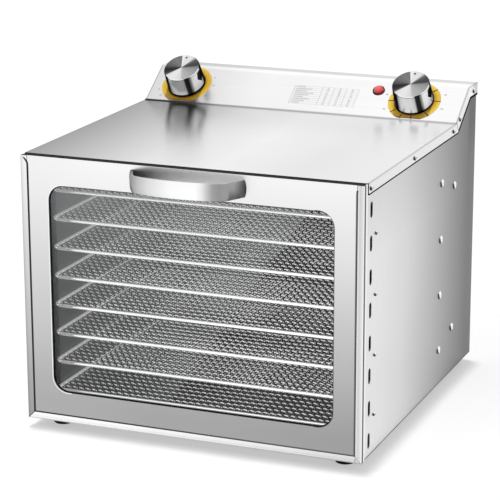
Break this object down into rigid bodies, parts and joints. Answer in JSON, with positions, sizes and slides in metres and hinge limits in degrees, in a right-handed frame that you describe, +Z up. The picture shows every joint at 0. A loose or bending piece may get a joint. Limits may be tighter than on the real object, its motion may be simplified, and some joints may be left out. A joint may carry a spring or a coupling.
{
  "type": "food dehydrator",
  "caption": "Box-shaped countertop food dehydrator: stainless cabinet, drop-down glass door, sliding wire trays, rear fan and heater, sloping control box with two dials.",
  "frame": {"origin": "on the table, under the middle of the box round the whole appliance", "axes": "+X to the right of someone facing the door, +Y to the back, +Z up"},
  "size_m": [0.3482, 0.3964, 0.3198],
  "materials": {
    "cover_steel": "bright brushed stainless sheet",
    "side_steel": "brushed stainless sheet",
    "door_steel": "fine brushed stainless sheet",
    "rim_steel": "polished stainless edge",
    "inner_steel": "plain mill stainless sheet",
    "rack_steel": "plain stainless sheet",
    "tray_wire": "bright chromed wire",
    "mesh_wire": "bright woven wire",
    "glass_pane": "clear tempered glass",
    "black_rubber": "soft black rubber",
    "handle_steel": "satin plated casting",
    "knob_metal": "spun top and polished side",
    "dial_yellow": "printed ring",
    "lamp_red": "clear red lens",
    "black_plastic": "black moulded plastic",
    "screw_steel": "bright zinc",
    "motor_paint": "dark painted steel",
    "heater_tube": "heat-darkened tube",
    "spindle_steel": "turned steel",
    "fan_metal": "pressed aluminium",
    "control_body": "moulded control body",
    "terminal_white": "moulded terminal strip"
  },
  "bodies": {
    "cabinet": {"base_pan": "inner_steel", "left_side_panel": "side_steel", "right_side_panel": "side_steel", "rear_panel": "side_steel", "top_cover": "cover_steel", "control_cover": "cover_steel", "left_rack": "rack_steel", "right_rack": "rack_steel", "fan_baffle": "inner_steel", "motor_bracket": "inner_steel", "fan_motor": "motor_paint", "heating_element": "heater_tube", "heater_clips": "inner_steel", "timer_body": "control_body", "thermostat_body": "control_body", "terminal_block": "terminal_white", "lamp_bezel": "black_plastic", "lamp_lens": "lamp_red", "timer_dial": "dial_yellow", "thermostat_dial": "dial_yellow", "cable_gland": "black_plastic", "feet": "black_rubber", "foot_screws": "screw_steel", "cover_screws": "screw_steel", "rack_screws": "screw_steel", "side_rivets": "screw_steel", "rear_screws": "screw_steel", "hinge_brackets": "inner_steel", "catch_magnets": "black_plastic"},
    "door": {"door_frame": "rim_steel", "door_panel": "door_steel", "window_pane": "glass_pane", "window_gasket": "black_rubber", "glass_retainer": "inner_steel", "door_seal": "black_rubber", "door_handle": "handle_steel", "handle_screws": "screw_steel", "hinge_pins": "spindle_steel"},
    "fan": {"fan_rotor": "fan_metal", "fan_shaft": "spindle_steel"},
    "timer": {"timer_knob": "knob_metal", "timer_spindle": "spindle_steel"},
    "thermostat": {"thermostat_knob": "knob_metal", "thermostat_spindle": "spindle_steel"},
    "tray_1": {"tray_frame_1": "tray_wire", "tray_mesh_1": "mesh_wire"},
    "tray_2": {"tray_frame_2": "tray_wire", "tray_mesh_2": "mesh_wire"},
    "tray_3": {"tray_frame_3": "tray_wire", "tray_mesh_3": "mesh_wire"},
    "tray_4": {"tray_frame_4": "tray_wire", "tray_mesh_4": "mesh_wire"},
    "tray_5": {"tray_frame_5": "tray_wire", "tray_mesh_5": "mesh_wire"},
    "tray_6": {"tray_frame_6": "tray_wire", "tray_mesh_6": "mesh_wire"},
    "tray_7": {"tray_frame_7": "tray_wire", "tray_mesh_7": "mesh_wire"},
    "tray_8": {"tray_frame_8": "tray_wire", "tray_mesh_8": "mesh_wire"}
  },
  "joints": [
    {"name": "door_hinge", "type": "hinge", "parent": "cabinet", "child": "door", "pos_m": [0, -0.16375, 0.0135], "axis": [1, 0, 0], "range_deg": [0, 82]},
    {"name": "timer_turn", "type": "hinge", "parent": "cabinet", "child": "timer", "pos_m": [-0.134, 0.13756, 0.28898], "axis": [0, 0.5592, -0.829], "range_deg": [0, 300]},
    {"name": "thermostat_turn", "type": "hinge", "parent": "cabinet", "child": "thermostat", "pos_m": [0.1205, 0.13756, 0.28898], "axis": [0, 0.5592, -0.829], "range_deg": [0, 300]},
    {"name": "fan_spin", "type": "hinge", "parent": "cabinet", "child": "fan", "pos_m": [0, 0.13125, 0.142], "axis": [0, 1, 0], "continuous": true},
    {"name": "tray_1_slide", "type": "slide", "parent": "cabinet", "child": "tray_1", "axis": [0, -1, 0], "range_m": [0, 0.0167]},
    {"name": "tray_2_slide", "type": "slide", "parent": "cabinet", "child": "tray_2", "axis": [0, -1, 0], "range_m": [0, 0.0415]},
    {"name": "tray_3_slide", "type": "slide", "parent": "cabinet", "child": "tray_3", "axis": [0, -1, 0], "range_m": [0, 0.0662]},
    {"name": "tray_4_slide", "type": "slide", "parent": "cabinet", "child": "tray_4", "axis": [0, -1, 0], "range_m": [0, 0.0909]},
    {"name": "tray_5_slide", "type": "slide", "parent": "cabinet", "child": "tray_5", "axis": [0, -1, 0], "range_m": [0, 0.1157]},
    {"name": "tray_6_slide", "type": "slide", "parent": "cabinet", "child": "tray_6", "axis": [0, -1, 0], "range_m": [0, 0.1404]},
    {"name": "tray_7_slide", "type": "slide", "parent": "cabinet", "child": "tray_7", "axis": [0, -1, 0], "range_m": [0, 0.1651]},
    {"name": "tray_8_slide", "type": "slide", "parent": "cabinet", "child": "tray_8", "axis": [0, -1, 0], "range_m": [0, 0.1898]}
  ],
  "couplings": [
    {"joint": "tray_1_slide", "follows": "door_hinge", "m_per_rad": 0.01134},
    {"joint": "tray_2_slide", "follows": "door_hinge", "m_per_rad": 0.02862},
    {"joint": "tray_3_slide", "follows": "door_hinge", "m_per_rad": 0.0459},
    {"joint": "tray_4_slide", "follows": "door_hinge", "m_per_rad": 0.06318},
    {"joint": "tray_5_slide", "follows": "door_hinge", "m_per_rad": 0.08046},
    {"joint": "tray_6_slide", "follows": "door_hinge", "m_per_rad": 0.09774},
    {"joint": "tray_7_slide", "follows": "door_hinge", "m_per_rad": 0.11502},
    {"joint": "tray_8_slide", "follows": "door_hinge", "m_per_rad": 0.1323}
  ]
}
